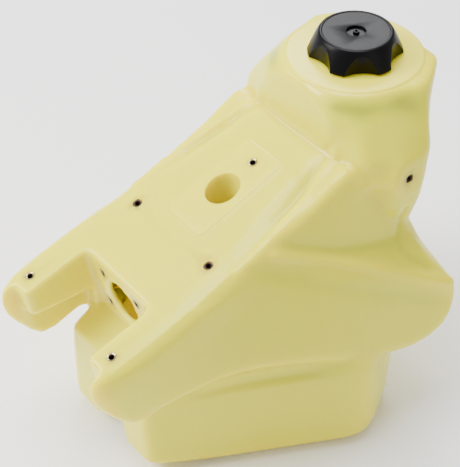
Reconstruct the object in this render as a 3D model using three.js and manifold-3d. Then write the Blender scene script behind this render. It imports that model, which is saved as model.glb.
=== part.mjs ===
// Motorcycle fuel tank: one rotationally moulded shell with brass thread inserts
// moulded into it, and a screw cap with a gasket and a vent barb.
// Millimetres. +X points forward, +Y to the rider's left, +Z up along the filler axis.
import * as THREE from 'three';
import { mergeVertices } from 'three/addons/utils/BufferGeometryUtils.js';
import Module from 'manifold-3d';

const wasm = await Module();
wasm.setup();

// ---- driving dimensions -------------------------------------------------------------

const WALL = 4.5; // moulded wall
const CLEARANCE = 0.3; // gap between pieces that touch
const OUTSIDE = { step: 22, corner: 3 }; // widest spacing of lofted sections, and facets round a corner
const INSIDE = { step: 26, corner: 1 };

// Seat deck: two slopes that meet at the knee, in front of the rear arms.
const DECK_KNEE_X = 118;
const DECK_KNEE_Z = 221;
const DECK_REAR_SLOPE = 0.325;
const DECK_FRONT_SLOPE = 0.414;

// Shallow raised panel on the deck, with the hole that a bolt passes through.
const PANEL_REAR_X = 143;
const PANEL_FRONT_X = 242;
const PANEL_HALF_WIDTH = 27.5;
const PANEL_HEIGHT = 1.2;
const DECK_HOLE_X = 190;
const DECK_HOLE_DIAMETER = 35;

// Notch between the rear arms, and the fuel pump flange on its front wall.
const NOTCH_FRONT_X = 70;
const NOTCH_HALF_WIDTH = 53;
const NOTCH_LOWER_HALF_WIDTH = 70;
const ARM_BAR_REAR_X = -5; // the flanks reach further back than the bars that hold the inserts
const ARM_BAR_HALF_WIDTH = 76;
const ARM_BAR_HEIGHT = 35;
const FLANGE_LEAN = THREE.MathUtils.degToRad(10);
const FLANGE_WIDTH = 76;
const FLANGE_HEIGHT = 66;
const FLANGE_THICKNESS = 1.5;
const FLANGE_CENTRE_Z = 168;
const PORT_DIAMETER = 44;
const PUMP_INSERT_SPREAD_Y = 57;
const PUMP_INSERT_SPREAD_Z = 41;

// Filler neck, with its moulded screw thread, on the flat top of the tank.
const FILLER_X = 353;
const PLATEAU_Z = 343.5;
const PLATEAU_RING_RADIUS = 66;
const PLATEAU_RING_HEIGHT = 1.2;
const NECK_BORE_RADIUS = 28;
const NECK_RADIUS = 33.5;
const NECK_HEIGHT = 19;
const THREAD_PITCH = 6;
const THREAD_DEPTH = 1.8;
const THREAD_TURNS = 1.75;

// Screw cap.
const CAP_HEIGHT = 24;
const CAP_TOP_RADIUS = 36;
const CAP_SKIRT_RADIUS = 47.5;
const CAP_LOBES = 6;
const CAP_LOBE_ANGLE = THREE.MathUtils.degToRad(27.8);
const CAP_SCALLOP_RADIUS = 31;
const CAP_SCALLOP_CENTRE = 70.3;
const CAP_FLOOR_GAP = 2; // skirt above the plateau when the cap is screwed down
const VENT_WELL_RADIUS = 9.5;
const VENT_WELL_DEPTH = 3.2;
const VENT_RADIUS = 3.2;
const VENT_BORE_RADIUS = 1.4;
const VENT_HEIGHT = 2.4; // above the floor of its well, so it stays below the cap's top
const VENT_STEM_RADIUS = 2.4;
const GASKET_THICKNESS = 2;

// Brass thread inserts.
const INSERT_RADIUS = 5;
const INSERT_LENGTH = 12;
const INSERT_BORE_RADIUS = 2.6;
const INSERT_BORE_DEPTH = 10;
const INSERT_BOSS_WALL = 3.5; // plastic around the insert
const ARM_INSERT = [8, 71];
const DECK_INSERT = [128.6, 59];
const FRONT_INSERT_X = 227;

// Shroud bosses, one on each side of the neck.
const SHROUD_BOSS_X = 331;
const SHROUD_BOSS_Z = 268;
const SHROUD_BOSS_FACE_Y = 113;
const SHROUD_BOSS_LENGTH = 38;
const SHROUD_BOSS_HEIGHT = 46;
const SHROUD_BOSS_CORNER = 16;

// Tunnel along the underside, over the frame tube.
const TUNNEL_HALF_WIDTH = 24;
const TUNNEL = [[20, 34], [190, 138], [440, 258]]; // [x, height of the arch's crown]

// Underside: flat rest face, rising towards the rear.
const REST_Z = -6;
const REST_REAR_X = 150;
const UNDERSIDE_RISE = 0.13;

const deckHeight = (x) =>
  DECK_KNEE_Z + (x - DECK_KNEE_X) * (x < DECK_KNEE_X ? DECK_REAR_SLOPE : DECK_FRONT_SLOPE);

// ---- lofted bodies ------------------------------------------------------------------

// Corners of the saddle's right half at each station along X, from the deck's edge down to the
// underside. On the deck a corner is [half width, drop below the deck, radius]; on the flank it is
// [half width, height, radius].
const station = (x, deck, flank) => [
  x, ...deck.map(([half, drop, radius]) => [half, deckHeight(x) - drop, radius]), ...flank,
];
const SADDLE = [
  station(-22, [[66, 0, 6], [76, 1.5, 9], [83, 6, 10]], [[84, 166, 9], [84, 158, 8], [80, 147, 9]]),
  station(0, [[76, 0, 6], [84, 1.5, 8], [91, 6, 10]], [[92, 165, 9], [92, 150, 9], [86, 117, 9]]),
  station(16, [[78, 0, 8], [87, 2.5, 9], [94, 8, 12]], [[95, 172, 12], [95, 150, 12], [90, 103, 9]]),
  station(66, [[77, 0, 8], [87, 2.5, 10], [95, 9, 14]], [[98, 178, 14], [99, 160, 14], [102, 116, 10]]),
  station(128, [[71, 0, 8], [82, 2.5, 10], [92, 9, 16]], [[95, 203, 16], [98, 185, 16], [115, 121, 10]]),
  station(190, [[56, 0, 5], [70, 4, 9], [88, 5, 15]], [[97, 222, 18], [105, 203, 14], [136, 113, 10]]),
  station(240, [[49, 0, 4], [67, 7, 9], [87, 1, 13]], [[105, 213, 22], [121, 190, 13], [149, 99, 11]]),
  station(275, [[48, 0, 4], [64, 3, 9], [89, -4, 14]], [[108, 210, 22], [128, 179, 13], [152, 88, 11]]),
  // In front of the deck the top is part of the flank.
  station(310, [], [
    [40, 262, 6], [60, 262, 9], [90, 272, 16],
    [110, 202, 22], [137, 165, 13], [154, 78, 12],
  ]),
  station(343, [], [
    [40, 236, 6], [56, 236, 9], [80, 234, 16],
    [110, 190, 20], [146, 153, 14], [156, 80, 13],
  ]),
  station(358, [], [
    [40, 190, 6], [58, 190, 9], [82, 188, 14],
    [113, 172, 18], [149, 149, 14], [156, 88, 13],
  ]),
  station(374, [], [
    [40, 151, 6], [62, 151, 9], [88, 150, 12],
    [120, 148, 16], [152, 141, 13], [155, 112, 13],
  ]),
];
const SADDLE_UNDERSIDE_HALF = 34;
const SADDLE_END_RADIUS = 9;

// Corners of the neck's left half at each level, from the rear round to the nose:
// [x, half width, radius].
const NECK = [
  [150, [285, 40, 14], [300, 68, 14], [322, 78, 14], [345, 84, 14], [358, 46, 14]],
  [200, [280, 44, 16], [298, 80, 20], [319, 98, 16], [350, 104, 16], [358, 46, 16]],
  [235, [277, 46, 16], [293, 88, 20], [316, 110, 14], [354, 112, 14], [364, 46, 16]],
  [270, [276, 48, 14], [290, 94, 20], [316, 112, 14], [358, 112, 14], [384, 46, 16]],
  [291, [277, 49, 14], [289, 93, 20], [318, 109, 16], [360, 112, 14], [399, 46, 16]],
  [305, [277, 50, 14], [292, 85, 20], [323, 99, 18], [361, 105, 14], [407, 47, 15]],
  [320, [279, 50, 14], [297, 76, 22], [328, 87, 20], [364, 97, 14], [415, 48, 14]],
  [PLATEAU_Z, [281, 51, 14], [301, 65, 22], [332, 79, 20], [369, 92, 9], [421, 51, 12]],
];
const NECK_TOP_RADIUS = 6;

// Corners of the tub's left half at each level, from the rear round to the front:
// [x, half width, radius].
const TUB = [
  [REST_Z, [48, 68, 16], [254, 165, 42], [318, 118, 34]],
  [40, [45, 66, 16], [254, 164, 42], [322, 120, 34]],
  [88, [44, 63, 12], [256, 158, 40], [326, 122, 34]],
  [104, [45, 62, 8], [258, 152, 38], [328, 122, 34]],
  [118, [62, 59, 8], [258, 148, 36], [328, 120, 34]],
  [132, [76, 57, 12], [258, 143, 34], [328, 120, 34]],
  [150, [80, 54, 14], [258, 138, 30], [326, 112, 34]],
];
const TUB_BASE_RADIUS = 16;

// A closed outline through arcs at its corners. A corner is [a, b, radius].
function roundedOutline(corners, facets = OUTSIDE.corner) {
  const points = [];
  corners.forEach(([a, b, radius], i) => {
    const here = new THREE.Vector2(a, b);
    const toBefore = new THREE.Vector2(...corners.at(i - 1)).sub(here);
    const toAfter = new THREE.Vector2(...corners[(i + 1) % corners.length]).sub(here);
    const half = Math.abs(toBefore.angleTo(toAfter)) / 2;
    const room = 0.45 * Math.min(toBefore.length(), toAfter.length());
    const reach = THREE.MathUtils.clamp(radius / Math.tan(half), Math.min(0.8, room), room);
    const start = here.clone().addScaledVector(toBefore.normalize(), reach);
    const end = here.clone().addScaledVector(toAfter.normalize(), reach);
    points.push(...new THREE.QuadraticBezierCurve(start, here, end).getPoints(facets));
  });
  return points;
}

// The same corners moved inward, each by its own distance. The corners run counterclockwise.
function insetCorners(corners, distanceAt) {
  return corners.map(([a, b, radius], i) => {
    const here = new THREE.Vector2(a, b);
    const before = here.clone().sub(new THREE.Vector2(...corners.at(i - 1))).normalize();
    const after = new THREE.Vector2(...corners[(i + 1) % corners.length]).sub(here).normalize();
    const normals = new THREE.Vector2(-before.y - after.y, before.x + after.x);
    const moved = here.addScaledVector(normals, distanceAt(i) / (1 + before.dot(after)));
    const turn = Math.sign(before.cross(after));
    return [moved.x, moved.y, Math.max(radius - turn * distanceAt(i), 1)];
  });
}

// Corners of one half, joined to their mirror image.
const mirrored = (half, mirror) => [...half, ...half.map(mirror).reverse()];

// Corners at any place along a loft, by cubic interpolation between its stations.
function cornersAlong(stations) {
  const places = stations.map(([at]) => at);
  const values = stations.flatMap(([, ...corners]) => corners.flat());
  const size = values.length / stations.length;
  const curve = new THREE.CubicInterpolant(places, values, size, new Float64Array(size));
  return (at) => {
    const row = [...curve.evaluate(at)];
    return Array.from({ length: size / 3 }, (_, i) => row.slice(3 * i, 3 * i + 3));
  };
}

// Places of the sections: every station, with even steps between, and a few round each end that has
// a radius. Each is a place and how far its outline is drawn in there.
function sectionPlaces(stations, skin, firstRadius, lastRadius, detail) {
  const rounded = (radius) => Array.from({ length: radius > 0 ? detail.corner : 0 }, (_, i) => {
    const angle = (i * Math.PI) / 2 / detail.corner;
    return [radius * (1 - Math.cos(angle)), radius * (1 - Math.sin(angle))];
  });
  const [first, last] = [stations[0][0] + skin, stations.at(-1)[0] - skin];
  const [start, end] = [first + firstRadius, last - lastRadius];
  const between = stations.map(([at]) => at).filter((at) => at > start + 2 && at < end - 2);
  const stops = [start, ...between, end];
  const stepped = stops.slice(1).flatMap((to, i) => {
    const steps = Math.ceil((to - stops[i]) / detail.step);
    return Array.from({ length: steps }, (_, k) => [stops[i] + ((to - stops[i]) * (k + 1)) / steps, 0]);
  });
  return [
    ...rounded(firstRadius).map(([along, inward]) => [first + along, inward]),
    [start, 0],
    ...stepped,
    ...rounded(lastRadius).reverse().map(([along, inward]) => [last - along, inward]),
  ];
}

// A closed geometry through outlines with equal numbers of points. place(at, point) puts a point in space.
function loftGeometry(sections, place) {
  const count = sections[0].points.length;
  const position = sections.flatMap(({ at, points }) => points.flatMap((point) => place(at, point)));
  const index = [];
  for (let s = 0; s + 1 < sections.length; s++) {
    for (let i = 0; i < count; i++) {
      const a = s * count + i;
      const b = s * count + ((i + 1) % count);
      index.push(a, b, b + count, a, b + count, a + count);
    }
  }
  // Each end closes with a fan about its middle.
  for (const end of [0, sections.length - 1]) {
    const { at, points } = sections[end];
    const middle = points.reduce((sum, point) => sum.add(point), new THREE.Vector2()).divideScalar(count);
    const hub = position.push(...place(at, middle)) / 3 - 1;
    for (let i = 0; i < count; i++) {
      const rim = [end * count + i, end * count + ((i + 1) % count)];
      index.push(hub, ...(end === 0 ? rim.reverse() : rim));
    }
  }
  const geometry = new THREE.BufferGeometry();
  geometry.setAttribute('position', new THREE.Float32BufferAttribute(position, 3));
  geometry.setIndex(index);
  return geometry;
}

const alongX = (at, point) => [at, point.x, point.y];
const alongZ = (at, point) => [point.x, point.y, at];

// ---- solids -------------------------------------------------------------------------

// A closed geometry as a solid that can be joined and cut.
function toSolid(geometry, matrix = new THREE.Matrix4()) {
  const bare = geometry.clone().applyMatrix4(matrix);
  bare.deleteAttribute('normal');
  bare.deleteAttribute('uv');
  const merged = mergeVertices(bare, 1e-3);
  const vertProperties = new Float32Array(merged.attributes.position.array);
  const triVerts = new Uint32Array(merged.index.array);
  return new wasm.Manifold(new wasm.Mesh({ numProp: 3, vertProperties, triVerts }));
}

function toGeometry(solid) {
  const mesh = solid.getMesh();
  const geometry = new THREE.BufferGeometry();
  geometry.setAttribute('position', new THREE.BufferAttribute(mesh.vertProperties, 3));
  geometry.setIndex(new THREE.BufferAttribute(mesh.triVerts, 1));
  return geometry;
}

// A cylinder from a point along a direction.
function cylinder(radius, length, from, direction, facets = 40) {
  const geometry = new THREE.CylinderGeometry(radius, radius, length, facets);
  geometry.translate(0, length / 2, 0);
  const turn = new THREE.Quaternion().setFromUnitVectors(new THREE.Vector3(0, 1, 0), direction);
  return toSolid(geometry, new THREE.Matrix4().compose(from, turn, new THREE.Vector3(1, 1, 1)));
}

// A solid of revolution about Z. The profile is [radius, height] points that close on the axis or on
// themselves.
function turned(profile, facets = 72) {
  const points = profile.map(([radius, height]) => new THREE.Vector2(radius, height));
  return toSolid(new THREE.LatheGeometry(points, facets), new THREE.Matrix4().makeRotationX(Math.PI / 2));
}

// A body lofted through its stations. The skin is how far its walls lie inside the moulded surface,
// measured square to them where they lean along the loft: zero is the outside itself.
function lofted(stations, outlineAt, skin, firstRadius, lastRadius, place) {
  const detail = skin === 0 ? OUTSIDE : INSIDE;
  const places = sectionPlaces(stations, skin, firstRadius, lastRadius, detail);
  const sections = places.map(([at, inward]) => {
    const [behind, here, ahead] = [at - 1, at, at + 1].map(outlineAt);
    const rate = (i, axis) => (ahead[i][axis] - behind[i][axis]) / 2;
    const corners = insetCorners(here, (i) => inward + skin * Math.hypot(1, rate(i, 0), rate(i, 1)));
    return { at, points: roundedOutline(corners, detail.corner) };
  });
  return toSolid(loftGeometry(sections, place));
}

// The saddle: seat deck, rear arms and side wings, lofted along X.
function saddle(skin) {
  const cornersAt = cornersAlong(SADDLE);
  const outlineAt = (at) => {
    const half = cornersAt(at);
    const underside = [SADDLE_UNDERSIDE_HALF, half.at(-1)[1], 6];
    return mirrored([underside, ...half.reverse()], ([y, z, radius]) => [-y, z, radius]);
  };
  return lofted(SADDLE, outlineAt, skin, SADDLE_END_RADIUS, SADDLE_END_RADIUS, alongX);
}

// A body lofted upwards from outlines in plan, such as the neck and the tub.
function standing(levels, skin, baseRadius, topRadius) {
  const cornersAt = cornersAlong(levels);
  const outlineAt = (at) => {
    const right = cornersAt(at).map(([x, y, radius]) => [x, -y, radius]);
    return mirrored(right, ([x, y, radius]) => [x, -y, radius]);
  };
  return lofted(levels, outlineAt, skin, baseRadius, topRadius, alongZ);
}

// A block with rounded vertical or lengthwise edges: an outline of corners, extruded.
function extruded(corners, depth, matrix) {
  const shape = new THREE.Shape(roundedOutline(corners));
  return toSolid(new THREE.ExtrudeGeometry(shape, { depth, bevelEnabled: false }), matrix);
}

const rectangle = (a0, b0, a1, b1, radius) => [
  [a0, b0, radius], [a1, b0, radius], [a1, b1, radius], [a0, b1, radius],
];

const UP = new THREE.Vector3(0, 0, 1);
const DOWN = new THREE.Vector3(0, 0, -1);
const upwards = (z) => new THREE.Matrix4().makeTranslation(0, 0, z);

// An extrusion to the right from a place on Y, with its outline's axes along X and Z.
const sideways = (y) => new THREE.Matrix4().makeBasis(
  new THREE.Vector3(1, 0, 0), UP, new THREE.Vector3(0, -1, 0),
).setPosition(0, y, 0);

// ---- places of the inserts ----------------------------------------------------------

const deckNormal = (slope) => new THREE.Vector3(-slope, 0, 1).normalize();
const deckPoint = (x, y) => new THREE.Vector3(x, y, deckHeight(x));
const flangeNormal = new THREE.Vector3(-Math.cos(FLANGE_LEAN), 0, -Math.sin(FLANGE_LEAN));
const flangeUp = new THREE.Vector3(-Math.sin(FLANGE_LEAN), 0, Math.cos(FLANGE_LEAN));
const flangeCentre = new THREE.Vector3(NOTCH_FRONT_X, 0, FLANGE_CENTRE_Z);
const flangePoint = (y, up, out) => flangeCentre.clone()
  .addScaledVector(flangeUp, up).addScaledVector(flangeNormal, out).add(new THREE.Vector3(0, y, 0));

// Each insert has its mouth on the skin, and an axis that points out of the plastic.
const inserts = [];
for (const [side, sign] of [['left', 1], ['right', -1]]) {
  inserts.push({
    name: `arm_insert_${side}`,
    mouth: deckPoint(ARM_INSERT[0], sign * ARM_INSERT[1]),
    axis: deckNormal(DECK_REAR_SLOPE),
  });
  inserts.push({
    name: `deck_insert_${side}`,
    mouth: deckPoint(DECK_INSERT[0], sign * DECK_INSERT[1]),
    axis: deckNormal(DECK_FRONT_SLOPE),
  });
  inserts.push({
    name: `shroud_insert_${side}`,
    mouth: new THREE.Vector3(SHROUD_BOSS_X, sign * SHROUD_BOSS_FACE_Y, SHROUD_BOSS_Z),
    axis: new THREE.Vector3(0, sign, 0),
  });
  for (const [row, lift] of [['upper', 1], ['lower', -1]]) {
    const [across, up] = [sign * PUMP_INSERT_SPREAD_Y / 2, lift * PUMP_INSERT_SPREAD_Z / 2];
    inserts.push({
      name: `pump_insert_${row}_${side}`,
      mouth: flangePoint(across, up, FLANGE_THICKNESS),
      axis: flangeNormal,
    });
  }
}
inserts.push({
  name: 'deck_insert_front',
  mouth: deckPoint(FRONT_INSERT_X, 0).addScaledVector(deckNormal(DECK_FRONT_SLOPE), PANEL_HEIGHT),
  axis: deckNormal(DECK_FRONT_SLOPE),
});

// ---- tank shell ---------------------------------------------------------------------

const DEEP = 600; // longer than the tank, for cuts that run right through

// The notch: between the bars of the arms, with a front wall that leans as the flange does, and
// wider below the bars and behind them. A skin makes it larger.
function notch(skin) {
  const rear = SADDLE[0][0] - DEEP / 2;
  const barFoot = deckHeight(0) - ARM_BAR_HEIGHT;
  const behindBars = ARM_BAR_REAR_X + skin;
  const between = [
    [rear, -ARM_BAR_HALF_WIDTH - skin, 1], [behindBars, -ARM_BAR_HALF_WIDTH - skin, 5],
    [behindBars, -NOTCH_HALF_WIDTH - skin, 7], [NOTCH_FRONT_X + skin, -NOTCH_HALF_WIDTH - skin, 9],
  ];
  const upper = extruded(
    mirrored(between, ([x, y, radius]) => [x, -y, radius]),
    DEEP,
    new THREE.Matrix4().makeTranslation(NOTCH_FRONT_X, 0, FLANGE_CENTRE_Z)
      .multiply(new THREE.Matrix4().makeRotationY(-FLANGE_LEAN))
      .multiply(new THREE.Matrix4().makeTranslation(-NOTCH_FRONT_X, 0, barFoot - FLANGE_CENTRE_Z - 30)),
  );
  const lowerHalf = NOTCH_LOWER_HALF_WIDTH + skin;
  const lower = extruded(
    rectangle(rear, -lowerHalf, NOTCH_FRONT_X + skin, lowerHalf, 10),
    DEEP,
    upwards(barFoot + skin - DEEP),
  );
  return upper.add(lower);
}

function tunnel(skin) {
  const half = TUNNEL_HALF_WIDTH + skin;
  const sections = TUNNEL.map(([at, crown]) => (
    { at, points: roundedOutline(rectangle(-half, REST_Z - 40, half, crown + skin, half)) }
  ));
  return toSolid(loftGeometry(sections, alongX));
}

// What lies below the part of the underside that rises to the rear.
function underside(skin) {
  const rearX = SADDLE[0][0] - 20;
  const rise = (REST_REAR_X - rearX) * UNDERSIDE_RISE;
  const corners = [
    [rearX, REST_Z - 60, 1], [REST_REAR_X, REST_Z - 60, 1],
    [REST_REAR_X, REST_Z + skin, 1], [rearX, REST_Z + rise + skin, 1],
  ];
  return extruded(corners, DEEP, sideways(DEEP / 2));
}

function shroudBoss(sign, skin) {
  const half = SHROUD_BOSS_LENGTH / 2 - skin;
  const rise = SHROUD_BOSS_HEIGHT / 2 - skin;
  const corners = rectangle(-half, -rise, half, rise, SHROUD_BOSS_CORNER - skin);
  const inner = 60;
  const matrix = sideways(sign > 0 ? SHROUD_BOSS_FACE_Y - skin : -inner)
    .premultiply(new THREE.Matrix4().makeTranslation(SHROUD_BOSS_X, 0, SHROUD_BOSS_Z));
  return extruded(corners, SHROUD_BOSS_FACE_Y - skin - inner, matrix);
}

// The moulded body with every wall moved inward by the skin: zero for the outside.
function body(skin) {
  return saddle(skin).subtract(notch(skin))
    .add(standing(NECK, skin, 0, NECK_TOP_RADIUS))
    .add(standing(TUB, skin, TUB_BASE_RADIUS, 0))
    .add(shroudBoss(1, skin))
    .add(shroudBoss(-1, skin))
    .subtract(tunnel(skin))
    .subtract(underside(skin));
}

const holeTop = deckPoint(DECK_HOLE_X, 0).addScaledVector(UP, 20);
const holeLength = holeTop.z - TUNNEL[1][1] + 40;
const holeTube = cylinder(DECK_HOLE_DIAMETER / 2 + WALL, holeLength, holeTop, DOWN, 24);
const insertBosses = inserts.map(({ mouth, axis }) => cylinder(
  INSERT_RADIUS + INSERT_BOSS_WALL, INSERT_LENGTH + INSERT_BOSS_WALL, mouth, axis.clone().negate(), 12,
));
const pocketAbove = 5; // the cut starts this far outside the skin
const insertPockets = inserts.map(({ mouth, axis }) => cylinder(
  INSERT_RADIUS + CLEARANCE, INSERT_LENGTH + CLEARANCE + pocketAbove,
  mouth.clone().addScaledVector(axis, pocketAbove), axis.clone().negate(), 20,
));

const panelSlope = Math.atan(DECK_FRONT_SLOPE);
const panelLength = (PANEL_FRONT_X - PANEL_REAR_X) / Math.cos(panelSlope);
const panel = extruded(
  rectangle(0, -PANEL_HALF_WIDTH, panelLength, PANEL_HALF_WIDTH, 6),
  PANEL_HEIGHT + WALL,
  new THREE.Matrix4().makeRotationY(-panelSlope)
    .premultiply(new THREE.Matrix4().makeTranslation(PANEL_REAR_X, 0, deckHeight(PANEL_REAR_X)))
    .multiply(upwards(-WALL)),
);
const flange = extruded(
  rectangle(-FLANGE_WIDTH / 2, -FLANGE_HEIGHT / 2, FLANGE_WIDTH / 2, FLANGE_HEIGHT / 2 - 8, 16),
  FLANGE_THICKNESS + WALL,
  new THREE.Matrix4().makeBasis(new THREE.Vector3(0, -1, 0), flangeUp, flangeNormal)
    .setPosition(flangePoint(0, 0, -WALL)),
);
const ring = turned([
  [0, -WALL], [PLATEAU_RING_RADIUS + 2, -WALL], [PLATEAU_RING_RADIUS + 2, 0],
  [PLATEAU_RING_RADIUS, PLATEAU_RING_HEIGHT], [0, PLATEAU_RING_HEIGHT],
]).translate([FILLER_X, 0, PLATEAU_Z]);
const neckFoot = PLATEAU_Z - WALL;
const neckTop = PLATEAU_Z + NECK_HEIGHT;
const stub = turned([[0, neckFoot], [NECK_RADIUS, neckFoot], [NECK_RADIUS, neckTop], [0, neckTop]])
  .translate([FILLER_X, 0, 0]);
const bore = cylinder(NECK_BORE_RADIUS, 80, new THREE.Vector3(FILLER_X, 0, neckTop + 5), DOWN, 48);
const port = cylinder(PORT_DIAMETER / 2, 60, flangePoint(0, 0, 20), flangeNormal.clone().negate(), 40);

// A screw thread: a ridge that climbs round the filler axis, spread out by a margin on every side.
function thread(rootRadius, depth, turns, startZ, margin) {
  const steps = 32;
  const profile = [
    new THREE.Vector2(rootRadius - 1.5, -2.2 - margin),
    new THREE.Vector2(rootRadius + depth + margin, -0.7 - margin),
    new THREE.Vector2(rootRadius + depth + margin, 0.7 + margin),
    new THREE.Vector2(rootRadius - 1.5, 2.2 + margin),
  ];
  const sections = [];
  for (let i = Math.ceil(turns * steps); i >= 0; i--) {
    sections.push({ at: (2 * Math.PI * i) / steps, points: profile });
  }
  const place = (at, point) => [
    FILLER_X + point.x * Math.cos(at),
    point.x * Math.sin(at),
    startZ + (THREAD_PITCH * at) / (2 * Math.PI) + point.y,
  ];
  return toSolid(loftGeometry(sections, place));
}

const threadStartZ = PLATEAU_Z + 5.5;
const neckThread = thread(NECK_RADIUS, THREAD_DEPTH, THREAD_TURNS, threadStartZ, 0);

let shell = body(0).add(panel).add(flange).add(ring).add(stub).add(neckThread);
let cavity = body(WALL).subtract(holeTube);
for (const boss of insertBosses) {
  cavity = cavity.subtract(boss);
}
shell = shell.subtract(cavity).subtract(bore).subtract(port);
shell = shell.subtract(cylinder(DECK_HOLE_DIAMETER / 2, holeLength, holeTop, DOWN, 40));
for (const pocket of insertPockets) {
  shell = shell.subtract(pocket);
}

// ---- cap ----------------------------------------------------------------------------

const capFoot = PLATEAU_Z + PLATEAU_RING_HEIGHT + CAP_FLOOR_GAP;
const capTop = capFoot + CAP_HEIGHT;
const gasketFoot = neckTop + CLEARANCE;
const capRoof = gasketFoot + GASKET_THICKNESS + CLEARANCE;
const capInside = NECK_RADIUS + 0.6;

let cap = turned([
  [0, capFoot], [CAP_SKIRT_RADIUS, capFoot], [CAP_SKIRT_RADIUS - 0.4, capFoot + 2.5],
  [CAP_TOP_RADIUS + 1.6, capTop - 2], [CAP_TOP_RADIUS + 0.6, capTop - 0.5],
  [CAP_TOP_RADIUS - 0.6, capTop], [0, capTop],
], 72);
for (let i = 0; i < CAP_LOBES; i++) {
  const angle = CAP_LOBE_ANGLE + ((i + 0.5) * 2 * Math.PI) / CAP_LOBES;
  const foot = new THREE.Vector3(CAP_SCALLOP_CENTRE, 0, capFoot - 5).applyAxisAngle(UP, angle);
  cap = cap.subtract(cylinder(CAP_SCALLOP_RADIUS, CAP_HEIGHT + 10, foot, UP, 64));
}
const capHollow = turned([
  [0, capFoot - 5], [capInside, capFoot - 5], [capInside, capRoof], [0, capRoof],
]);
const ventWell = cylinder(VENT_WELL_RADIUS, 10, new THREE.Vector3(0, 0, capTop - VENT_WELL_DEPTH), UP);
const ventHole = cylinder(VENT_STEM_RADIUS + CLEARANCE, 30, new THREE.Vector3(0, 0, capTop - 20), UP, 24);
const grooveTurns = THREAD_TURNS + 2.1; // from below the skirt to just past the end of the neck's thread
const groove = thread(NECK_RADIUS, THREAD_DEPTH, grooveTurns, threadStartZ - 2 * THREAD_PITCH, 0.5);
cap = cap.subtract(capHollow).subtract(ventWell).subtract(ventHole)
  .translate([FILLER_X, 0, 0])
  .subtract(groove);

const gasket = turned([
  [NECK_BORE_RADIUS, gasketFoot], [NECK_RADIUS - 0.4, gasketFoot],
  [NECK_RADIUS - 0.4, gasketFoot + GASKET_THICKNESS], [NECK_BORE_RADIUS, gasketFoot + GASKET_THICKNESS],
  [NECK_BORE_RADIUS, gasketFoot],
], 48).translate([FILLER_X, 0, 0]);

const ventFloor = capTop - VENT_WELL_DEPTH;
const vent = turned([
  [VENT_BORE_RADIUS, capRoof + 0.5], [VENT_STEM_RADIUS, capRoof + 0.5],
  [VENT_STEM_RADIUS, ventFloor + CLEARANCE],
  [VENT_RADIUS, ventFloor + CLEARANCE], [VENT_RADIUS, ventFloor + VENT_HEIGHT - 0.5],
  [VENT_RADIUS - 0.5, ventFloor + VENT_HEIGHT], [VENT_BORE_RADIUS, ventFloor + VENT_HEIGHT],
  [VENT_BORE_RADIUS, capRoof + 0.5],
], 24).translate([FILLER_X, 0, 0]);

const insertProfile = [
  [0, -INSERT_LENGTH], [INSERT_RADIUS, -INSERT_LENGTH], [INSERT_RADIUS, 0], [INSERT_BORE_RADIUS, 0],
  [INSERT_BORE_RADIUS, -INSERT_BORE_DEPTH], [0, -INSERT_BORE_DEPTH],
];
const insertGeometry = toGeometry(turned(insertProfile, 20));

// ---- assembly -----------------------------------------------------------------------

const plastic = { color: 0xdcd49a, roughness: 0.45, metalness: 0 };
const black = { color: 0x1b1c20, roughness: 0.5, metalness: 0 };
const rubber = { color: 0x1f1f1f, roughness: 0.8, metalness: 0 };
const brass = { color: 0xb08d4a, roughness: 0.35, metalness: 1 };

function piece(name, geometry, finish) {
  const mesh = new THREE.Mesh(geometry, new THREE.MeshStandardMaterial(finish));
  mesh.name = name;
  return mesh;
}

const tank = new THREE.Group();
tank.add(piece('tank_shell', toGeometry(shell), plastic));
tank.add(piece('filler_cap', toGeometry(cap), black));
tank.add(piece('cap_gasket', toGeometry(gasket), rubber));
tank.add(piece('cap_vent_barb', toGeometry(vent), black));
for (const { name, mouth, axis } of inserts) {
  const insert = piece(name, insertGeometry, brass);
  insert.position.copy(mouth);
  insert.quaternion.setFromUnitVectors(new THREE.Vector3(0, 0, 1), axis);
  tank.add(insert);
}

// The part stands on its rest face, with the origin under the middle of its length.
const size = new THREE.Box3().setFromObject(tank);
tank.position.set(-(size.min.x + size.max.x) / 2, 0, -size.min.z);

export default tank;
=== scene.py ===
# Motorcycle fuel tank: a hollow moulded shell with brass thread inserts and a black screw cap.
# Metres. +X points forward, +Y to the rider's left, +Z up along the filler axis.
import math

import bmesh
import bpy
from mathutils import Matrix, Vector
from mathutils.kdtree import KDTree


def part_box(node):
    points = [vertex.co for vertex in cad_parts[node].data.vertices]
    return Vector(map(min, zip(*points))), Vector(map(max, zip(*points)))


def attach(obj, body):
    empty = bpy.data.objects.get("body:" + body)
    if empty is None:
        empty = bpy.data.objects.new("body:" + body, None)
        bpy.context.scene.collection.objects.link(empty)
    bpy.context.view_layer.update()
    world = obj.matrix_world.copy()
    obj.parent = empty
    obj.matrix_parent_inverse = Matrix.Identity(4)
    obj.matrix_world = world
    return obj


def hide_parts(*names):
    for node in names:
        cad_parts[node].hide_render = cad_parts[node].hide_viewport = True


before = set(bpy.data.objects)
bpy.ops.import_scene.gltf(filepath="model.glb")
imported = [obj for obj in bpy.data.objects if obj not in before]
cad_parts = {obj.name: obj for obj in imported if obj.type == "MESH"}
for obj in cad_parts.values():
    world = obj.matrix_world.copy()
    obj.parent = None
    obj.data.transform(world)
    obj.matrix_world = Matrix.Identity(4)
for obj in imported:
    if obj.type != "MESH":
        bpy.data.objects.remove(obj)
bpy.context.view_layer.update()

# ---- studio ---------------------------------------------------------------------------------
# A pale floor that the tank stands on, soft lamps on both sides, above and behind, and the camera
# behind and above the right-hand arm.
camera_data = bpy.data.cameras.new("studio_camera")
camera_data.sensor_fit = "VERTICAL"
camera_data.sensor_height = 36
camera_data.lens = 131.05
camera = bpy.data.objects.new("studio_camera", camera_data)
camera.location = (-0.7843, -1.0400, 1.2887)
camera.rotation_euler = (math.radians(50), 0, math.radians(-37))
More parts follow.
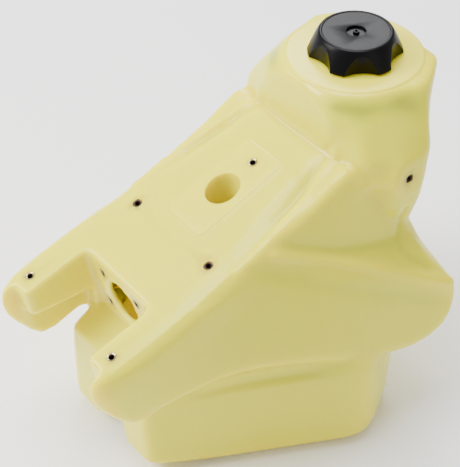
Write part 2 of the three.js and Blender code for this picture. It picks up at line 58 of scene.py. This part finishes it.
bpy.context.collection.objects.link(camera)
bpy.context.scene.camera = camera


def soft_lamp(name, place, size, power, tint):
    """A square lamp that faces the middle of the tank."""
    data = bpy.data.lights.new(name, "AREA")
    data.size = size
    data.energy = power
    data.color = tint
    lamp = bpy.data.objects.new(name, data)
    lamp.location = place
    lamp.rotation_euler = (Vector((0, 0, 0.18)) - Vector(place)).to_track_quat("-Z", "Y").to_euler()
    bpy.context.collection.objects.link(lamp)


soft_lamp("lamp_left", (-1.5, 1.0, 1.6), 1.1, 84, (1, 1, 0.99))
soft_lamp("lamp_above", (0.1, 0.3, 2.2), 1.2, 46, (1, 1, 1))
soft_lamp("lamp_behind", (1.1, 1.4, 1.7), 0.9, 30, (0.98, 0.99, 1))
soft_lamp("lamp_right", (0.3, -2.0, 0.9), 1.3, 4, (0.98, 0.98, 1))

world = bpy.data.worlds.new("studio_air")
world.use_nodes = True
world.node_tree.nodes["Background"].inputs["Color"].default_value = (1, 1, 1, 1)
world.node_tree.nodes["Background"].inputs["Strength"].default_value = 0.68
bpy.context.scene.world = world


def new_material(name, colour, roughness):
    """A material with its principled shader, and the shader's inputs."""
    material = bpy.data.materials.new(name)
    material.use_nodes = True
    shader = material.node_tree.nodes["Principled BSDF"]
    shader.inputs["Base Color"].default_value = (*colour, 1)
    shader.inputs["Roughness"].default_value = roughness
    return material, shader


def add_node(material, kind, **settings):
    """A shader node with its own settings and its inputs set by name."""
    node = material.node_tree.nodes.new(kind)
    for key, value in settings.items():
        if key in node.inputs:
            node.inputs[key].default_value = value
        else:
            setattr(node, key, value)
    return node


def grain(material, shader, scale, strength, distance):
    """Fine surface texture: noise in the piece's own coordinates, as a bump."""
    link = material.node_tree.links.new
    place = add_node(material, "ShaderNodeTexCoord")
    noise = add_node(material, "ShaderNodeTexNoise", Scale=scale, Detail=3.0, Roughness=0.55)
    bump = add_node(material, "ShaderNodeBump", Strength=strength, Distance=distance)
    link(place.outputs["Object"], noise.inputs["Vector"])
    link(noise.outputs["Fac"], bump.inputs["Height"])
    link(bump.outputs["Normal"], shader.inputs["Normal"])
    return noise, bump


floor_bm = bmesh.new()
bmesh.ops.create_circle(floor_bm, cap_ends=True, segments=96, radius=5)
floor_mesh = bpy.data.meshes.new("studio_floor")
floor_bm.to_mesh(floor_mesh)
floor_bm.free()
floor = bpy.data.objects.new("studio_floor", floor_mesh)
bpy.context.collection.objects.link(floor)
floor_material, floor_shader = new_material("pale_paper", (0.97, 0.97, 0.97), 0.8)
grain(floor_material, floor_shader, 900, 0.05, 0.0002)
floor_mesh.materials.append(floor_material)

# ---- brass thread inserts -------------------------------------------------------------------
# Turned and knurled brass sleeves, blind at the bottom, with an M6 thread inside. They are held on
# pins in the mould, so the plastic flows round the knurl and leaves each mouth flush.
DECK_REAR = Vector((-0.325, 0, 1)).normalized()
DECK_FRONT = Vector((-0.414, 0, 1)).normalized()
FLANGE_OUT = Vector((-math.cos(math.radians(10)), 0, -math.sin(math.radians(10))))
INSERT_LENGTH = 0.012
insert_axes = {"deck_insert_front": DECK_FRONT}
for side, sign in (("left", 1), ("right", -1)):
    insert_axes[f"arm_insert_{side}"] = DECK_REAR
    insert_axes[f"deck_insert_{side}"] = DECK_FRONT
    insert_axes[f"shroud_insert_{side}"] = Vector((0, sign, 0))
    for row in ("upper", "lower"):
        insert_axes[f"pump_insert_{row}_{side}"] = FLANGE_OUT


def middle(node):
    """The middle of a CAD node's box."""
    low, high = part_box(node)
    return (Vector(low) + Vector(high)) / 2


UP = Vector((0, 0, 1))


def standing(foot, axis):
    """The move that takes a piece from the origin, along Z, to a foot and an axis."""
    return Matrix.Translation(foot) @ UP.rotation_difference(axis).to_matrix().to_4x4()


def outline(bm, points, closed=False):
    """A chain of edges through [radius, height] points, in the plane of X and Z."""
    verts = [bm.verts.new((radius, 0, height)) for radius, height in points]
    pairs = list(zip(verts, verts[1:])) + ([(verts[-1], verts[0])] if closed else [])
    return verts + [bm.edges.new(pair) for pair in pairs]


def in_order(bm):
    """Puts the edges and faces in a fixed order, which merging points leaves open."""
    count = len(bm.verts)
    bm.verts.index_update()

    def rank(part):
        places = sorted(v.index for v in part.verts)[:3]
        return sum(place * count ** (2 - step) for step, place in enumerate(places))

    bm.edges.sort(key=rank)
    bm.faces.sort(key=rank)


def spun(points, steps):
    """A closed body turned about Z. Its outline starts and ends on the axis, or closes."""
    bm = bmesh.new()
    on_axis = points[0][0] == 0
    bmesh.ops.spin(bm, geom=outline(bm, points, not on_axis), cent=(0, 0, 0), axis=(0, 0, 1),
                   dvec=(0, 0, 0), angle=math.tau, steps=steps, use_merge=True, use_duplicate=False)
    bmesh.ops.remove_doubles(bm, verts=bm.verts, dist=1e-6)
    bmesh.ops.recalc_face_normals(bm, faces=bm.faces)
    in_order(bm)
    return bm


CREASE_ANGLE = math.radians(34)


def finished(bm, name, material, body, slot, *nodes):
    """Makes the piece, which rides on its body and stands for its CAD nodes."""
    mesh = bpy.data.meshes.new(name)
    bm.to_mesh(mesh)
    bm.free()
    mesh.materials.append(material)
    mesh.shade_smooth()
    mesh.set_sharp_from_angle(angle=CREASE_ANGLE)
    piece = bpy.data.objects.new(name, mesh)
    bpy.context.collection.objects.link(piece)
    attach(piece, body)
    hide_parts(*nodes)
    return piece


brass, brass_shader = new_material("turned_brass", (0.5, 0.38, 0.16), 0.3)
brass_shader.inputs["Metallic"].default_value = 1
tarnish, _ = grain(brass, brass_shader, 500, 0.25, 0.0002)
tarnish_ramp = add_node(brass, "ShaderNodeValToRGB")
tarnish_ramp.color_ramp.elements[0].position = 0.3
tarnish_ramp.color_ramp.elements[0].color = (0.2, 0.13, 0.05, 1)
tarnish_ramp.color_ramp.elements[1].position = 0.65
tarnish_ramp.color_ramp.elements[1].color = (0.6, 0.48, 0.22, 1)
brass.node_tree.links.new(tarnish.outputs["Fac"], tarnish_ramp.inputs["Fac"])
brass.node_tree.links.new(tarnish_ramp.outputs["Color"], brass_shader.inputs["Base Color"])
oxide, oxide_shader = new_material("oxidised_brass", (0.075, 0.032, 0.022), 0.5)
oxide_shader.inputs["Metallic"].default_value = 0.6
grain(oxide, oxide_shader, 600, 0.4, 0.0002)
# The thread inside each insert's bore gets a near-black material. This is painted shade deep in the
# bore, not the brass's own colour.
bore_shade, bore_shade_shader = new_material("painted_shade_thread", (0.006, 0.005, 0.004), 0.9)
grain(bore_shade, bore_shade_shader, 900, 0.3, 0.0001)

BORE_RADIUS = 0.0026
THREAD_STEP = 0.001
bore = []
for turn in range(9):
    crest = -0.001 - turn * THREAD_STEP
    bore += [(BORE_RADIUS, crest), (0.00295, crest - THREAD_STEP / 2)]
bore += [(BORE_RADIUS, -0.01), (0, -0.0104)]
sleeve = [(0, -INSERT_LENGTH), (0.0042, -INSERT_LENGTH), (0.0047, -0.0112), (0.0047, -0.0015),
          (0.005, -0.0012), (0.005, -0.0003), (0.0046, 0), (0.0036, -0.0002), (0.003, -0.0007)]

HEAD_HALF_WIDTH = 0.0043
HEAD_CORNER_REACH = 0.0055
COLLAR_RADIUS = 0.005


def square_head(bm):
    """Draws the collar's rim out towards a rounded square."""
    for v in bm.verts:
        if math.hypot(v.co.x, v.co.y) > 0.0035 and v.co.z > -0.002:
            turn = math.atan2(v.co.y, v.co.x)
            square = HEAD_HALF_WIDTH / max(abs(math.cos(turn)), abs(math.sin(turn)))
            grown = min(square, HEAD_CORNER_REACH) / COLLAR_RADIUS
            v.co.x *= grown
            v.co.y *= grown


insert_mouths = []
for name, axis in insert_axes.items():
    mouth = middle(name) + axis * INSERT_LENGTH / 2
    insert_mouths.append((mouth, axis))
    insert_bm = spun(sleeve + bore, 36)
    dark = name.startswith(("deck", "shroud")) and name != "deck_insert_front"
    # Faces deep inside the bore take the second material, the near-black painted shade.
    for face in insert_bm.faces:
        inside = all(math.hypot(v.co.x, v.co.y) < 0.0031 and v.co.z < -0.0005 for v in face.verts)
        face.material_index = 1 if inside else 0
    if dark:
        square_head(insert_bm)
    bmesh.ops.transform(insert_bm, matrix=standing(mouth, axis), verts=insert_bm.verts)
    piece = finished(insert_bm, f"{name}_sleeve", oxide if dark else brass, "tank", "brass", name)
    piece.data.materials.append(bore_shade)

# ---- moulded shell --------------------------------------------------------------------------
# One hollow piece of natural polyethylene, rotationally moulded. The powder melts against a warm
# mould, so every edge is soft, every inside corner is a wide fillet, and the skin is slightly waxy.
FILLER_X = middle("filler_cap").x
PORT_CENTRE = (middle("pump_insert_upper_left") + middle("pump_insert_lower_right")) / 2
FILLER_BORE = 0.028
PORT_RADIUS = 0.022
NECK_RADIUS = 0.0335
NECK_HEIGHT = 0.019
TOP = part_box("tank_shell")[1][2] - NECK_HEIGHT


def piece_of(bm, name):
    """A plain object for a mesh that is still being worked on."""
    mesh = bpy.data.meshes.new(name)
    bm.to_mesh(mesh)
    bm.free()
    work = bpy.data.objects.new(name, mesh)
    bpy.context.collection.objects.link(work)
    return work


def with_modifier(work, kind, **settings):
    """The object's mesh with one modifier carried out on it."""
    modifier = work.modifiers.new(kind, kind)
    for key, value in settings.items():
        setattr(modifier, key, value)
    done = bpy.data.meshes.new_from_object(
        work.evaluated_get(bpy.context.evaluated_depsgraph_get()))
    work.modifiers.clear()
    work.data = done


def rod(radius, foot, axis, length, sides=48):
    """A closed round bar from a point along an axis."""
    bm = bmesh.new()
    bmesh.ops.create_cone(bm, cap_ends=True, segments=sides, radius1=radius, radius2=radius,
                          depth=length)
    bmesh.ops.transform(bm, matrix=standing(foot + axis * length / 2, axis), verts=bm.verts)
    return bm


def joined(target, other):
    """Adds another mesh to a mesh."""
    spare = bpy.data.meshes.new("spare")
    other.to_mesh(spare)
    other.free()
    target.from_mesh(spare)
    bpy.data.meshes.remove(spare)


def carved(work, bm, operation):
    """The object with a closed mesh's shape joined on or taken out."""
    tool = piece_of(bm, "tool")
    with_modifier(work, "BOOLEAN", operation=operation, solver="MANIFOLD", object=tool)
    bpy.data.objects.remove(tool)


def cut(work, bm):
    """Takes a closed mesh's shape out of the object."""
    carved(work, bm, "DIFFERENCE")


def add(work, bm):
    """Joins a closed mesh's shape onto the object."""
    carved(work, bm, "UNION")


# The shell's outside and its hollow meet only at the filler's bore and the pump's port, so without
# the walls of those two holes they come apart.
shell_bm = bmesh.new()
shell_bm.from_mesh(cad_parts["tank_shell"].data)
bmesh.ops.remove_doubles(shell_bm, verts=shell_bm.verts, dist=2e-6)


def on_rod(point, foot, axis, radius):
    """Whether a point lies on the side of an endless round bar."""
    away = point - foot
    return abs((away - axis * away.dot(axis)).length - radius) < 0.00006


bore_walls = [
    face for face in shell_bm.faces
    if all(on_rod(v.co, Vector((FILLER_X, 0, 0)), UP, FILLER_BORE)
           and v.co.z > 0.28 for v in face.verts)
    or all(on_rod(v.co, PORT_CENTRE, FLANGE_OUT, PORT_RADIUS)
           and (v.co - PORT_CENTRE).length < 0.04 for v in face.verts)
]
bmesh.ops.delete(shell_bm, geom=bore_walls, context="FACES")
rims = [edge for edge in shell_bm.edges if edge.is_boundary]
bmesh.ops.holes_fill(shell_bm, edges=rims, sides=0)
bmesh.ops.triangulate(shell_bm, faces=[face for face in shell_bm.faces if len(face.verts) > 3])

shell_bm.verts.index_update()
outer = {max(shell_bm.verts, key=lambda v: v.co.x)}
edge_of_search = list(outer)
while edge_of_search:
    edge_of_search = [other for v in edge_of_search for e in v.link_edges
                      if (other := e.other_vert(v)) not in outer and not outer.add(other)]
outer_indices = {v.index for v in outer}
hollow_bm = shell_bm.copy()
hollow_bm.verts.index_update()
bmesh.ops.delete(hollow_bm, geom=[v for v in hollow_bm.verts if v.index in outer_indices],
                 context="VERTS")
bmesh.ops.reverse_faces(hollow_bm, faces=hollow_bm.faces)
bmesh.ops.delete(shell_bm, geom=[v for v in shell_bm.verts if v not in outer], context="VERTS")

CONE_RADIUS = 0.0705
CONE_SPREAD = 0.9
CONE_DEPTH = 0.05


def draw_in_back(bm, wall):
    """Rounds the back of the filler's plateau: its corners are drawn in towards a cone."""
    for v in bm.verts:
        drop = TOP - v.co.z
        out_x, out_y = v.co.x - FILLER_X, v.co.y
        reach = math.hypot(out_x, out_y)
        limit = CONE_RADIUS - wall + CONE_SPREAD * max(drop, 0)
        if -0.0005 < drop < CONE_DEPTH and reach > limit:
            behind = min(max((0.045 - out_x) / 0.05, 0), 1)
            drawn = behind * min((CONE_DEPTH - drop) / 0.02, 1) * 0.85
            v.co.x -= out_x * (1 - limit / reach) * drawn
            v.co.y -= out_y * (1 - limit / reach) * drawn


# Softening takes a little off the outside, so the hollow is made a little smaller to match.
HOLLOW_SHRINK = 0.0026
hollow_bm.normal_update()
for v in hollow_bm.verts:
    v.co -= v.normal * HOLLOW_SHRINK
draw_in_back(hollow_bm, 0.0095)

# The inserts' pockets are filled in before the outside is meshed evenly, and are cut again later.
VOXEL = 0.0024
for mouth, axis in insert_mouths:
    joined(shell_bm, rod(0.0058, mouth, -axis, 0.0136, 24))
shell = piece_of(shell_bm, "moulded_shell")
with_modifier(shell, "REMESH", mode="VOXEL", voxel_size=VOXEL, adaptivity=0)

# Soft edges: a few passes everywhere, more round the neck, and many over the knee in the deck.
soft_bm = bmesh.new()
soft_bm.from_mesh(shell.data)


def soften(verts, passes):
    """Smooths the given points of the shell a number of times."""
    for _ in range(passes):
        bmesh.ops.smooth_vert(soft_bm, verts=verts, factor=0.5, use_axis_x=True,
                              use_axis_y=True, use_axis_z=True)


soften(soft_bm.verts[:], 5)
draw_in_back(soft_bm, 0)
soften([v for v in soft_bm.verts if TOP - 0.075 < v.co.z < TOP + 0.001 and v.co.x > 0.05
        and math.hypot(v.co.x - FILLER_X, v.co.y) > 0.05], 14)
KNEE_X = -0.0816
soften([v for v in soft_bm.verts if abs(v.co.x - KNEE_X) < 0.03 and v.co.z > 0.215], 40)

# Lines along the skin, given on the right-hand side and repeated on the left: the places, how far
# the skin is raised or sunk there, and how wide.
skin_lines = {
    "hollow above the wing":
        ([(-0.0126, -0.0882, 0.2469), (0.0156, -0.0976, 0.2339), (0.0446, -0.1051, 0.2223),
          (0.0766, -0.1114, 0.2116), (0.1108, -0.1146, 0.2027)], -0.0014, 0.009),
    "ridge of the wing":
        ([(-0.015, -0.0915, 0.2375), (0.0291, -0.1043, 0.2185), (0.0762, -0.1205, 0.1955),
          (0.1233, -0.136, 0.1712), (0.1649, -0.1493, 0.148)], 0.0034, 0.006),
    "hollow under the ridge":
        ([(-0.0445, -0.0895, 0.2317), (0.0029, -0.1067, 0.2074), (0.0513, -0.125, 0.1819),
          (0.1062, -0.139, 0.1538), (0.1615, -0.1525, 0.1249)], -0.001, 0.008),
    "fold where the wing meets the neck":
        ([(0.1334, -0.1083, 0.2311), (0.1308, -0.1049, 0.2148), (0.1238, -0.1106, 0.2041),
          (0.1221, -0.1183, 0.1946), (0.1289, -0.1263, 0.1835), (0.1444, -0.1351, 0.1701)],
         -0.0014, 0.0045),
    "boss behind the shroud insert":
        ([(0.086, -0.0955, 0.273), (0.116, -0.105, 0.273)], 0.003, 0.009),
    "groove inside the deck's rim":
        ([(0.0773, -0.0502, 0.2974), (0.0519, -0.0593, 0.2798), (0.0268, -0.0659, 0.266),
          (-0.001, -0.0705, 0.2557)], -0.0013, 0.0045),
    "rim of the deck":
        ([(0.082, -0.0602, 0.297), (0.0519, -0.0693, 0.2778), (0.0268, -0.0759, 0.265),
          (-0.001, -0.0805, 0.2537), (-0.056, -0.0843, 0.2316)], 0.0024, 0.005),
    "fold where the deck meets the neck":
        ([(0.0743, -0.0449, 0.2932), (0.073, 0, 0.2926)], -0.001, 0.003),
    "fold between flank and tub":
        ([(-0.1671, -0.0971, 0.1225), (-0.1063, -0.0884, 0.0985), (-0.064, -0.1024, 0.1039),
          (-0.0081, -0.1249, 0.101), (0.0776, -0.1482, 0.0823)], -0.0013, 0.006),
    "parting line along the arm":
        ([(-0.056, -0.0813, 0.2336), (-0.1007, -0.0843, 0.2173), (-0.1384, -0.0857, 0.2061),
          (-0.1714, -0.0855, 0.1956), (-0.2036, -0.0847, 0.1844)], 0.0006, 0.0018),
}
LINE_STEP = 0.0015
LINE_REACH = 2.4
soft_bm.verts.ensure_lookup_table()
soft_bm.normal_update()
tree = KDTree(len(soft_bm.verts))
for v in soft_bm.verts:
    tree.insert(v.co, v.index)
tree.balance()
lift = {}
for places, height, width in skin_lines.values():
    nearest = {}
    for side in (1, -1):
        path = [Vector((x, y * side, z)) for x, y, z in places]
        for start, end in zip(path, path[1:]):
            steps = round((end - start).length / LINE_STEP)
            for step in range(steps + 1):
                spot = start.lerp(end, step / steps)
                for _, index, away in tree.find_range(spot, LINE_REACH * width):
                    nearest[index] = min(nearest.get(index, 1), away)
    for index, away in nearest.items():
        lift[index] = lift.get(index, 0) + height * math.exp(-(away / width) ** 2)
for index, height in lift.items():
    v = soft_bm.verts[index]
    v.co += v.normal * height

# Two layers for the material's painted shade, each from 0 to 1. The first is how deep each point
# lies in a hollow of the surface, where the colour is painted deeper as shade. The second is how
# near it is to an insert, where the buried insert's shadow is painted on.
resting = {v.index: v.co.copy() for v in soft_bm.verts}
normals = {v.index: v.normal.copy() for v in soft_bm.verts}
soften(soft_bm.verts[:], 26)
depths = {v.index: (v.co - resting[v.index]).dot(normals[v.index]) for v in soft_bm.verts}
for v in soft_bm.verts:
    v.co = resting[v.index]
hollow_shade_layer = soft_bm.verts.layers.float.new("hollow_shade")
insert_shadow_layer = soft_bm.verts.layers.float.new("insert_shadow")
for v in soft_bm.verts:
    v[hollow_shade_layer] = min(max(depths[v.index] / 0.003, 0), 1)
    away = min((v.co - mouth).length for mouth, _ in insert_mouths)
    v[insert_shadow_layer] = 0.7 * min(max(1 - (away - 0.004) / 0.009, 0), 1) ** 2
soft_bm.to_mesh(shell.data)
soft_bm.free()
FACES_KEPT = 160000
with_modifier(shell, "DECIMATE", decimate_type="COLLAPSE",
              ratio=FACES_KEPT / (2 * len(shell.data.polygons)))

# The filler's ring, its threaded neck and the deck's raised panel keep a finer edge.
PITCH = 0.006
THREAD_START = TOP + 0.0055


def helix(points, start, turns):
    """A closed bar that climbs round Z: its [radius, height] section, first height and turns."""
    bm = bmesh.new()
    section = outline(bm, [(radius, start + height) for radius, height in points], closed=True)
    bmesh.ops.spin(bm, geom=section, cent=(0, 0, 0), axis=(0, 0, 1), dvec=(0, 0, PITCH / 48),
                   angle=math.tau * turns, steps=round(48 * turns), use_merge=False,
                   use_duplicate=False)
    bmesh.ops.remove_doubles(bm, verts=bm.verts, dist=1e-6)
    bmesh.ops.holes_fill(bm, edges=[e for e in bm.edges if e.is_boundary], sides=0)
    bmesh.ops.recalc_face_normals(bm, faces=bm.faces)
    in_order(bm)
    return bm


cut(shell, rod(0.045, Vector((FILLER_X, 0, TOP + 0.0005)), UP, 0.03))
ring_bm = spun([(0, -0.006), (0.0705, -0.006), (0.0692, 0), (0.0686, 0.0009), (0.0677, 0.0014),
                (0.0665, 0.0016), (0.0362, 0.0013), (0.0345, 0.0018), (NECK_RADIUS, 0.003),
                (NECK_RADIUS, NECK_HEIGHT - 0.0008), (0.0327, NECK_HEIGHT), (0, NECK_HEIGHT)], 160)
bmesh.ops.translate(ring_bm, vec=(FILLER_X, 0, TOP), verts=ring_bm.verts)
ridge_bm = helix([(0.0325, -0.0021), (0.0353, -0.0006), (0.0353, 0.0006), (0.0325, 0.0021)],
                 THREAD_START, 1.75)
bmesh.ops.translate(ridge_bm, vec=(FILLER_X, 0, 0), verts=ridge_bm.verts)


add(shell, ring_bm)
add(shell, ridge_bm)

panel_middle = middle("deck_insert_front") + DECK_FRONT * INSERT_LENGTH / 2
DECK_SLOPE = 0.414
PANEL_BEHIND_INSERT = 0.0368
PANEL_THICKNESS = 0.006
along_deck = Vector((1, 0, DECK_SLOPE)).normalized()
panel_bm = bmesh.new()
bmesh.ops.create_cube(panel_bm, size=1)
bmesh.ops.scale(panel_bm, vec=(0.1072, 0.055, PANEL_THICKNESS), verts=panel_bm.verts)
uprights = [e for e in panel_bm.edges if abs(e.verts[0].co.z - e.verts[1].co.z) > 0.001]
bmesh.ops.bevel(panel_bm, geom=uprights, offset=0.006, segments=5, profile=0.5,
                affect="EDGES", material=-1)
upper_edges = [e for e in panel_bm.edges if all(v.co.z > 0.002 for v in e.verts)]
bmesh.ops.bevel(panel_bm, geom=upper_edges, offset=0.0008, segments=3, profile=0.5,
                affect="EDGES", material=-1)
panel_place = panel_middle - along_deck * PANEL_BEHIND_INSERT - DECK_FRONT * PANEL_THICKNESS / 2
bmesh.ops.transform(panel_bm, verts=panel_bm.verts, matrix=Matrix.Translation(panel_place)
                    @ Matrix.Rotation(-math.atan(DECK_SLOPE), 4, "Y"))
add(shell, panel_bm)

# The hollow, the filler's bore, the pump's port, the deck's bolt hole and the inserts' pockets.
cut(shell, hollow_bm)
cut(shell, rod(FILLER_BORE, Vector((FILLER_X, 0, TOP - 0.02)), UP, 0.06, 72))
cut(shell, rod(PORT_RADIUS, PORT_CENTRE + FLANGE_OUT * 0.016, -FLANGE_OUT, 0.036, 64))
HOLE_RADIUS = 0.0175
HOLE_X = panel_middle.x - 0.03654
cut(shell, rod(HOLE_RADIUS, Vector((HOLE_X, 0, 0.1)), UP, 0.2, 72))
pockets_bm = bmesh.new()
for mouth, axis in insert_mouths:
    joined(pockets_bm, rod(0.0051, mouth + axis * 0.004, -axis, 0.0163, 32))
cut(shell, pockets_bm)

polyethylene, plastic = new_material("natural_polyethylene", (0.88, 0.76, 0.03), 0.27)
plastic.inputs["Subsurface Weight"].default_value = 0.8
plastic.inputs["Subsurface Radius"].default_value = (1.0, 0.75, 0.2)
plastic.inputs["Subsurface Scale"].default_value = 0.014
plastic.inputs["IOR"].default_value = 1.5
plastic.inputs["Specular IOR Level"].default_value = 0.4
link = polyethylene.node_tree.links.new
grain(polyethylene, plastic, 320, 0.1, 0.0004)
hollow_shade = add_node(polyethylene, "ShaderNodeAttribute", attribute_name="hollow_shade")
insert_shadow = add_node(polyethylene, "ShaderNodeAttribute", attribute_name="insert_shadow")
spot = add_node(polyethylene, "ShaderNodeTexCoord")
mottle = add_node(polyethylene, "ShaderNodeTexNoise", Scale=14.0, Detail=3.0)
link(spot.outputs["Object"], mottle.inputs["Vector"])


def mixed(factor, low, high):
    """A colour between two, by a factor. Either end is a colour or another mix."""
    mix = add_node(polyethylene, "ShaderNodeMix", data_type="RGBA")
    link(factor, mix.inputs["Factor"])
    for socket, end in ((mix.inputs[6], low), (mix.inputs[7], high)):
        if isinstance(end, tuple):
            socket.default_value = (*end, 1)
        else:
            link(end, socket)
    return mix.outputs[2]


cream = mixed(mottle.outputs["Fac"], (0.89, 0.735, 0.014), (0.91, 0.765, 0.03))
# Painted shade: the colour is deeper and darker in the hollows of the surface, where shade falls.
cream_with_hollow_shade = mixed(hollow_shade.outputs["Fac"], cream, (0.88, 0.66, 0.008))
# Painted shadow: the plastic darkens round each insert's mouth, where the buried insert shows
# through the plastic as shade.
cream_with_insert_shadow = mixed(insert_shadow.outputs["Fac"], cream_with_hollow_shade, (0.2, 0.16, 0.05))
link(cream_with_insert_shadow, plastic.inputs["Base Color"])
shell.data.materials.clear()
shell.data.materials.append(polyethylene)
shell.data.shade_smooth()
shell.data.set_sharp_from_angle(angle=math.radians(50))
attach(shell, "tank")
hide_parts("tank_shell")

# ---- screw cap ------------------------------------------------------------------------------
# Injection-moulded black plastic with six finger lobes, a flat top with a raised rim, and a coarse
# thread inside that screws onto the neck.
cap_low, cap_high = (Vector(corner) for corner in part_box("filler_cap"))
CAP_HEIGHT = cap_high.z - cap_low.z
cap_bm = spun([
    (0, 0), (0.0472, 0), (0.0475, 0.0012), (0.0471, 0.0026), (0.0392, CAP_HEIGHT - 0.0042),
    (0.0379, CAP_HEIGHT - 0.0022), (0.0370, CAP_HEIGHT - 0.0008), (0.0358, CAP_HEIGHT - 0.0002),
    (0.0348, CAP_HEIGHT), (0.0339, CAP_HEIGHT - 0.0001), (0.0333, CAP_HEIGHT - 0.0006),
    (0.0105, CAP_HEIGHT - 0.0006), (0.0097, CAP_HEIGHT - 0.0009), (0.0092, CAP_HEIGHT - 0.0032),
    (0, CAP_HEIGHT - 0.0032),
], 144)
cap = piece_of(cap_bm, "screw_cap")
LOBES = 6
LOBE_ANGLE = math.radians(27.8)
SCALLOP_CENTRE = 0.0703
SCALLOP_RADIUS = 0.031
for lobe in range(LOBES):
    angle = LOBE_ANGLE + (lobe + 0.5) * math.tau / LOBES
    foot = Vector((SCALLOP_CENTRE * math.cos(angle), SCALLOP_CENTRE * math.sin(angle), -0.005))
    cut(cap, rod(SCALLOP_RADIUS, foot, UP, CAP_HEIGHT + 0.01, 128))
edges_bm = bmesh.new()
edges_bm.from_mesh(cap.data)
bmesh.ops.dissolve_limit(edges_bm, angle_limit=math.radians(0.6), verts=edges_bm.verts,
                         edges=edges_bm.edges)
lobe_edges = [
    e for e in edges_bm.edges
    if len(e.link_faces) == 2 and e.calc_face_angle() > math.radians(28)
    and all(math.hypot(v.co.x, v.co.y) > 0.0362 for v in e.verts)
]
bmesh.ops.bevel(edges_bm, geom=lobe_edges, offset=0.0009, offset_type="OFFSET", segments=3,
                profile=0.5, affect="EDGES", clamp_overlap=True, material=-1)
edges_bm.to_mesh(cap.data)
edges_bm.free()

CLEARANCE = 0.0003
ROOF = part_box("cap_gasket")[1][2] + CLEARANCE - cap_low.z
INSIDE_RADIUS = NECK_RADIUS + 2 * CLEARANCE
cut(cap, spun([(0, -0.005), (INSIDE_RADIUS, -0.005), (INSIDE_RADIUS, ROOF), (0, ROOF)], 96))
cut(cap, rod(0.0027, Vector((0, 0, ROOF - 0.002)), UP, 0.02, 24))
groove_bm = helix([(0.032, -0.0027), (0.0358, -0.0012), (0.0358, 0.0012), (0.032, 0.0027)],
                  THREAD_START - 2 * PITCH - cap_low.z, 3.85)
cut(cap, groove_bm)
cap.data.transform(Matrix.Translation((FILLER_X, 0, cap_low.z)))

black, black_shader = new_material("black_cap_plastic", (0.0018, 0.0018, 0.0024), 0.32)
black_shader.inputs["Specular IOR Level"].default_value = 0.12
grain(black, black_shader, 1500, 0.35, 0.00012)
cap.data.materials.clear()
cap.data.materials.append(black)
cap.data.shade_smooth()
cap.data.set_sharp_from_angle(angle=CREASE_ANGLE)
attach(cap, "screw_cap")
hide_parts("filler_cap")

# ---- vent barb ------------------------------------------------------------------------------
# A small black nipple for the breather hose, moulded in the cap's own plastic. It stands in the
# well in the middle of the cap, and its rim stays below the cap's top.
barb_low, barb_high = (Vector(corner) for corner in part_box("cap_vent_barb"))
BARB = barb_high.z - barb_low.z
barb_bm = spun([
    (0.0014, 0), (0.0024, 0), (0.0024, BARB - 0.0021), (0.0032, BARB - 0.0021),
    (0.0032, BARB - 0.0005), (0.0029, BARB), (0.0019, BARB), (0.0014, BARB - 0.0006),
], 40)
bmesh.ops.translate(barb_bm, vec=(FILLER_X, 0, barb_low.z), verts=barb_bm.verts)
finished(barb_bm, "vent_barb", black, "screw_cap", "black_cap_plastic", "cap_vent_barb")

# ---- gasket ---------------------------------------------------------------------------------
# A flat ring of black rubber between the cap's roof and the rim of the neck. It is stamped from
# sheet, so its faces are plain and its edges are square.
rubber, rubber_shader = new_material("black_rubber", (0.015, 0.015, 0.015), 0.75)
grain(rubber, rubber_shader, 1100, 0.4, 0.0002)
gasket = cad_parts["cap_gasket"]
gasket.material_slots[0].material = rubber
